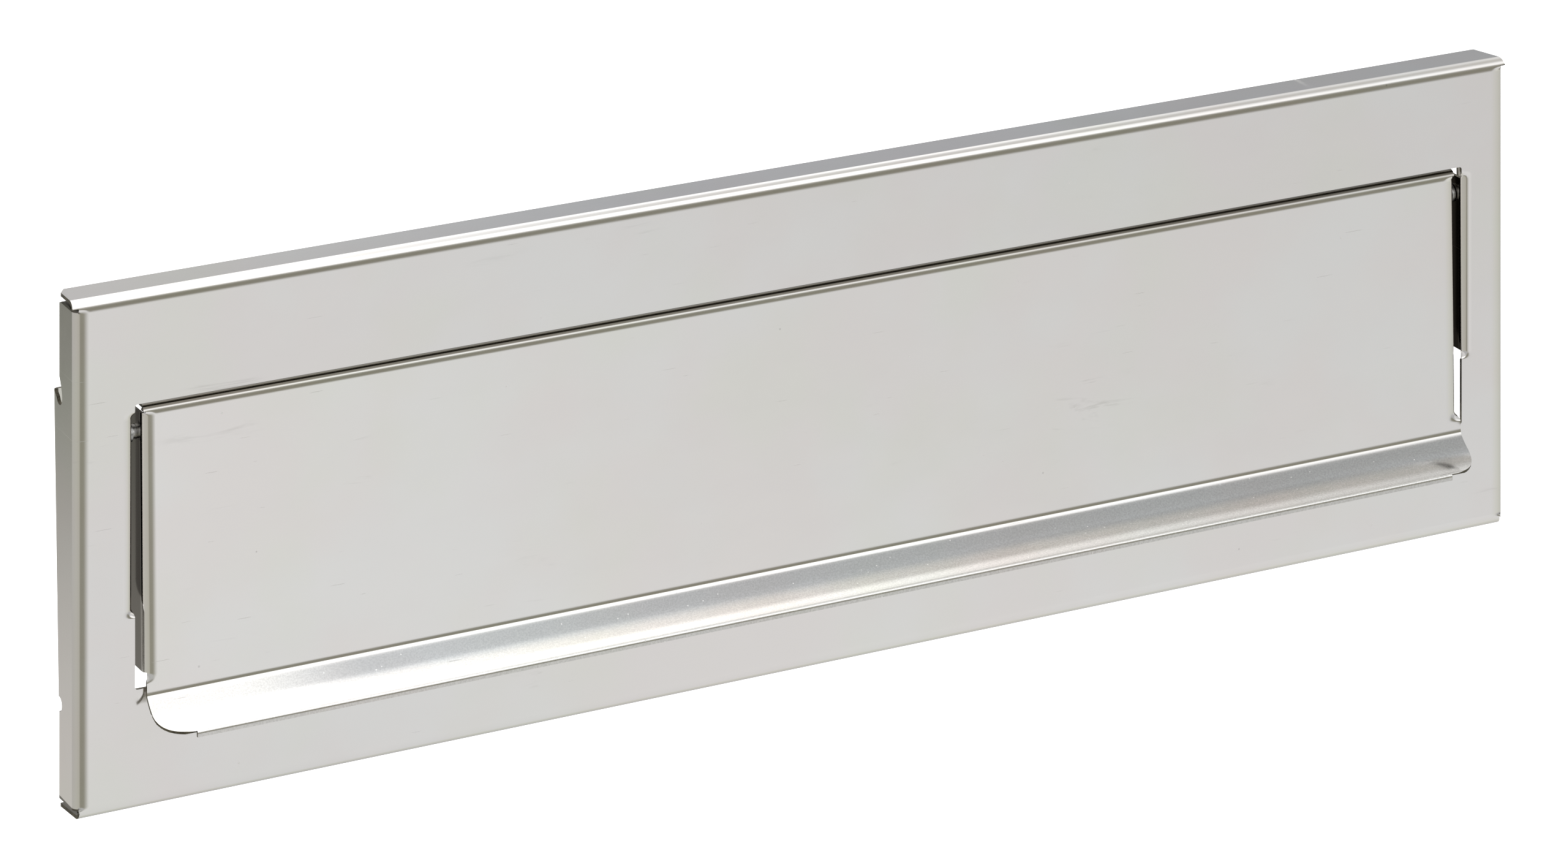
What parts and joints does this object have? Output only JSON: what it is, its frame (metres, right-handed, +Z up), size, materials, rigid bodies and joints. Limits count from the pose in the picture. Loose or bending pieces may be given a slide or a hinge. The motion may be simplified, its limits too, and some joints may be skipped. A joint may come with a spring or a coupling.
{
  "type": "letter plate",
  "caption": "Wide letter plate folded from thin polished stainless sheet, with a top-hung outward-opening flap that has a curved finger lip.",
  "frame": {"origin": "centre of the faceplate's front face, at the centre of its height and width", "axes": "+X to the right as seen from the street, +Y into the door away from the street, +Z up"},
  "size_m": [0.3608, 0.0242, 0.11],
  "materials": {
    "plate_sheet": "polished stainless steel",
    "flap_sheet": "polished stainless steel",
    "pin_steel": "turned, satin",
    "spacer_steel": "turned, dull",
    "washer_spring_steel": "dark spring steel"
  },
  "bodies": {
    "plate": {"faceplate": "plate_sheet", "pivot_pin_left": "pin_steel", "pivot_pin_right": "pin_steel", "spacer_washer_left": "spacer_steel", "spacer_washer_right": "spacer_steel", "retaining_washer_left": "washer_spring_steel", "retaining_washer_right": "washer_spring_steel"},
    "flap": {"flap": "flap_sheet"}
  },
  "joints": [
    {"name": "flap_hinge", "type": "hinge", "parent": "plate", "child": "flap", "pos_m": [0.0009, 0.0048, 0.0236], "axis": [-1, 0, 0], "range_deg": [0, 110]}
  ]
}
